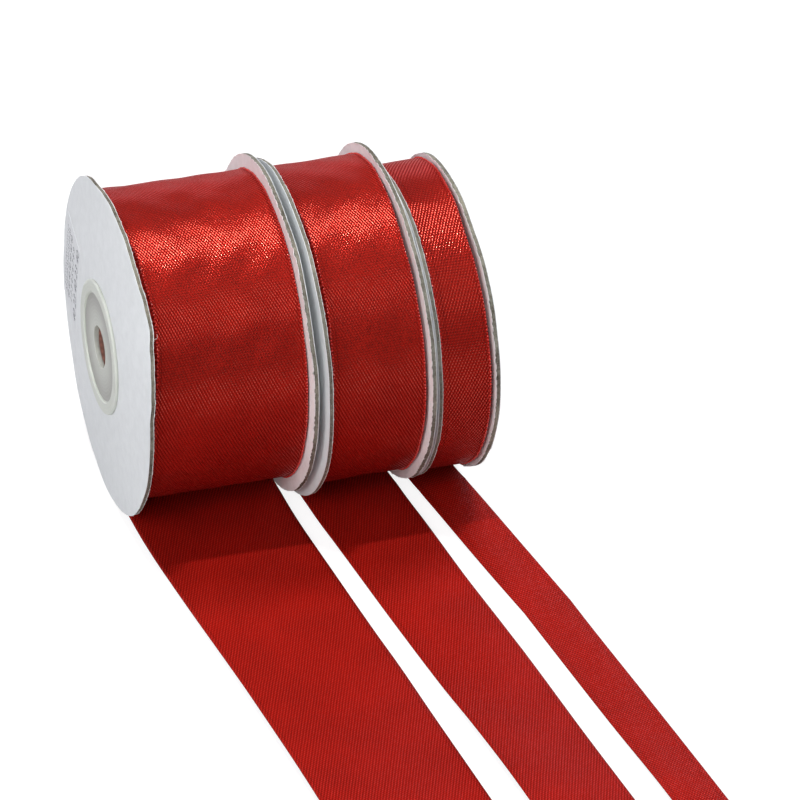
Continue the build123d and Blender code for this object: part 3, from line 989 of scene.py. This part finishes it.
def printed(spool, number, text, row_at, size):
    """One row of numbers as a thin layer of ink, laid on the sticker."""
    words = bpy.data.curves.new(f"{spool}_numbers_{number}", "FONT")
    words.body = text
    words.size = size * mm
    words.align_x = "CENTER"
    words.extrude = 0.004 * mm
    words.resolution_u = 2
    made = from_curve(f"{spool}_numbers_{number}", words, ink)
    bore = bores[spool]
    depth, radius, angle = bore.read(points_of(frame["nodes"][f"{spool}_label"].data))
    middle = [(way.min() + way.max()) / 2 for way in (radius * np.cos(angle), radius * np.sin(angle))]
    slope = np.polyfit(radius, depth, 1)
    lowest = (depth - np.polyval(slope, radius)).min()

    def laid(flat):
        along, high, out = flat.T
        high = high + row_at * mm
        x = middle[0] + high * math.cos(sticker_turn) - along * math.sin(sticker_turn)
        y = middle[1] + high * math.sin(sticker_turn) + along * math.cos(sticker_turn)
        far = np.hypot(x, y)
        return bore.at(np.polyval(slope, far) + lowest - ink_clearance - out, far, np.arctan2(y, x))

    reshape(made, laid)
    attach(turn_out(made), f"{spool}_spool")


for spool in spools:
    dress(f"{spool}_label", label_paper)
    for number, (text, (row_at, size)) in enumerate(zip(number_rows[spool], row_layout)):
        printed(spool, number, text, row_at, size)


# --- Table and light ----------------------------
# A plain pale table that runs off to white. A lamp overhead casts the shadow in front of the rolls, a
# softbox behind it lays the bright band along them, and large soft lights fill from the left and front.
table_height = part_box("wide_left_board")[0].z


def table():
    """A wide pale board just under the set; its own colour is what the gloss of the ribbon picks up."""
    bpy.ops.mesh.primitive_plane_add(size=6, location=(0, 0, table_height - 0.02 * mm))
    made = bpy.context.object
    made.name = "table"
    surface = bpy.data.materials.new("pale_table")
    surface.use_nodes = True
    surface.node_tree.nodes.clear()
    add = partial(node, surface.node_tree)
    rays = add("LightPath")
    tint = add("Mix", {
        "Factor": rays.outputs["Is Camera Ray"], "A": (0.55, 0.55, 0.55, 1), "B": (0.25, 0.25, 0.25, 1),
    }, data_type="RGBA")
    lit = add("BsdfDiffuse", {"Color": tint})
    veil = add("Math", {0: rays.outputs["Is Camera Ray"], 1: 0.86}, operation="MULTIPLY")
    glow = add("Emission", {"Color": (1, 1, 1, 1), "Strength": veil})
    both = add("AddShader", {0: lit, 1: glow})
    add("OutputMaterial", {"Surface": both})
    made.data.materials.append(surface)


def lamp(name, direction, distance, size, power):
    """An area lamp that faces the set from a direction, size across and along X first."""
    data = bpy.data.lights.new(name, "AREA")
    data.shape = "RECTANGLE"
    data.size, data.size_y = size
    data.energy = power
    way = Vector(direction).normalized()
    side = (Vector((1, 0, 0)) - way * way.x).normalized()
    turn = Matrix((side, way.cross(side), way)).transposed().to_4x4()
    new_piece(name, data).matrix_world = Matrix.Translation(way * distance) @ turn


table()
lamp("overhead", (-0.12, -0.042, 1.0), 1.6, (0.2, 0.042), 10.6)
lamp("softbox", (0.26, 0.25, 0.93), 1.5, (0.45, 0.36), 9.2)
lamp("front", (0.22, -0.66, 0.72), 2.0, (0.6, 0.6), 2.4)
lamp("near_left", (-0.46, -0.73, 0.53), 1.6, (0.85, 0.85), 8.2)
lamp("fill", (-0.8, -0.38, 0.5), 1.5, (0.7, 0.7), 6.6)

world = bpy.data.worlds.new("room")
world.use_nodes = True
sky = world.node_tree.nodes["Background"]
add = partial(node, world.node_tree)
place = add("TexCoord")
split = add("SeparateXYZ", {"Vector": place.outputs["Generated"]})
# Strength by direction: a dim room, brighter overhead, with a pale wall low down behind the set.
ceiling, behind, low_down = (
    add("MapRange", {
        "Value": split.outputs[axis], "From Min": start, "From Max": end, "To Min": first, "To Max": last,
    }, interpolation_type="SMOOTHSTEP")
    for axis, start, end, first, last in (
        ("Z", 0.0, 0.45, 0.04, 0.12), ("Y", 0.1, 0.8, 0.0, 1.75), ("Z", 0.0, 0.45, 1.0, 0.0),
    )
)
brighter = add("Math", {0: behind, 1: low_down, 2: ceiling}, operation="MULTIPLY_ADD")
give(sky, {"Strength": brighter, "Color": (0.98, 0.95, 1.11, 1)})
scene.world = world
scene.view_settings.view_transform = "Standard"
